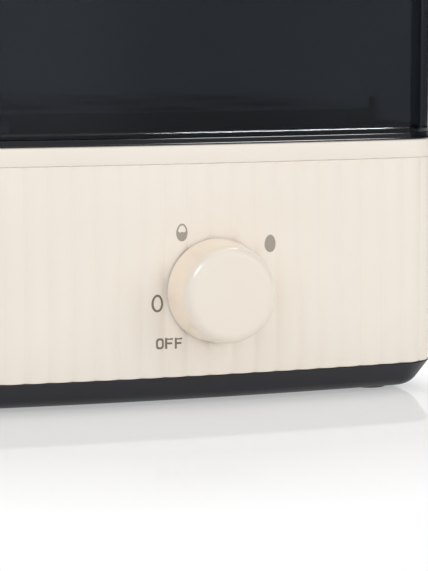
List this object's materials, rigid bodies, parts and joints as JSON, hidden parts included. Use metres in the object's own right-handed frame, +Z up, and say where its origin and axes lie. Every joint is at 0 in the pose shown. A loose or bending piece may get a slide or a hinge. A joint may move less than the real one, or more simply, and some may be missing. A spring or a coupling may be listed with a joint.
{
  "type": "electric egg cooker",
  "caption": "Square reeded steam egg cooker with a smoked lift-off lid, arch handle, lift-out egg tray over a steel water dish and a round control knob.",
  "frame": {"origin": "on the table, under the middle of the whole outline from the knob's face to the gland's nose", "axes": "+Z up, -Y out of the front with the knob, +X to the right as seen from the front"},
  "size_m": [0.193, 0.216, 0.1951],
  "materials": {
    "cream_plastic": "satin",
    "black_plastic": "satin",
    "bezel_plastic": "gloss",
    "smoked_plastic": "gloss",
    "tray_plastic": "satin",
    "rubber": "matte",
    "silicone": "matte",
    "steel": "brushed",
    "screw_steel": "bright",
    "heater_metal": "dull",
    "brass": "bright",
    "control_plastic": "satin",
    "sounder_plastic": "satin",
    "brown_lead": "satin",
    "blue_lead": "satin",
    "earth_lead": "satin"
  },
  "bodies": {
    "base": {"base_pan": "black_plastic", "rubber_feet": "rubber", "base_screws": "screw_steel", "housing_skirt": "cream_plastic", "top_ring": "cream_plastic", "ring_screws": "screw_steel", "plate_bezel": "bezel_plastic", "plate_seal": "silicone", "heating_plate": "steel", "heating_element": "heater_metal", "clamp_bar": "steel", "clamp_nut": "brass", "safety_thermostat": "heater_metal", "thermal_fuse": "control_plastic", "fuse_strap": "steel", "rotary_control": "control_plastic", "control_nut": "steel", "buzzer": "sounder_plastic", "terminal_block": "control_plastic", "live_lead": "brown_lead", "control_lead": "brown_lead", "thermostat_lead": "brown_lead", "neutral_lead": "blue_lead", "fuse_lead": "blue_lead", "earth_lead": "earth_lead", "cord_gland": "black_plastic"},
    "knob": {"knob": "cream_plastic", "knob_clip": "brass", "control_shaft": "control_plastic"},
    "tray": {"egg_tray": "tray_plastic"},
    "lid": {"lid_shell": "smoked_plastic", "lid_handle": "black_plastic", "handle_screws": "screw_steel", "handle_washers": "rubber"}
  },
  "joints": [
    {"name": "knob_turn", "type": "hinge", "parent": "base", "child": "knob", "pos_m": [0.0062, -0.09995, 0.0405], "axis": [0, 1, 0], "range_deg": [0, 190]},
    {"name": "lid_lift", "type": "slide", "parent": "base", "child": "lid", "axis": [0, 0, 1], "range_m": [0, 0.2]},
    {"name": "tray_lift", "type": "slide", "parent": "base", "child": "tray", "axis": [0, 0, 1], "range_m": [0, 0.09]}
  ],
  "couplings": [
    {"joint": "tray_lift", "follows": "lid_lift", "ratio": 0.45}
  ]
}
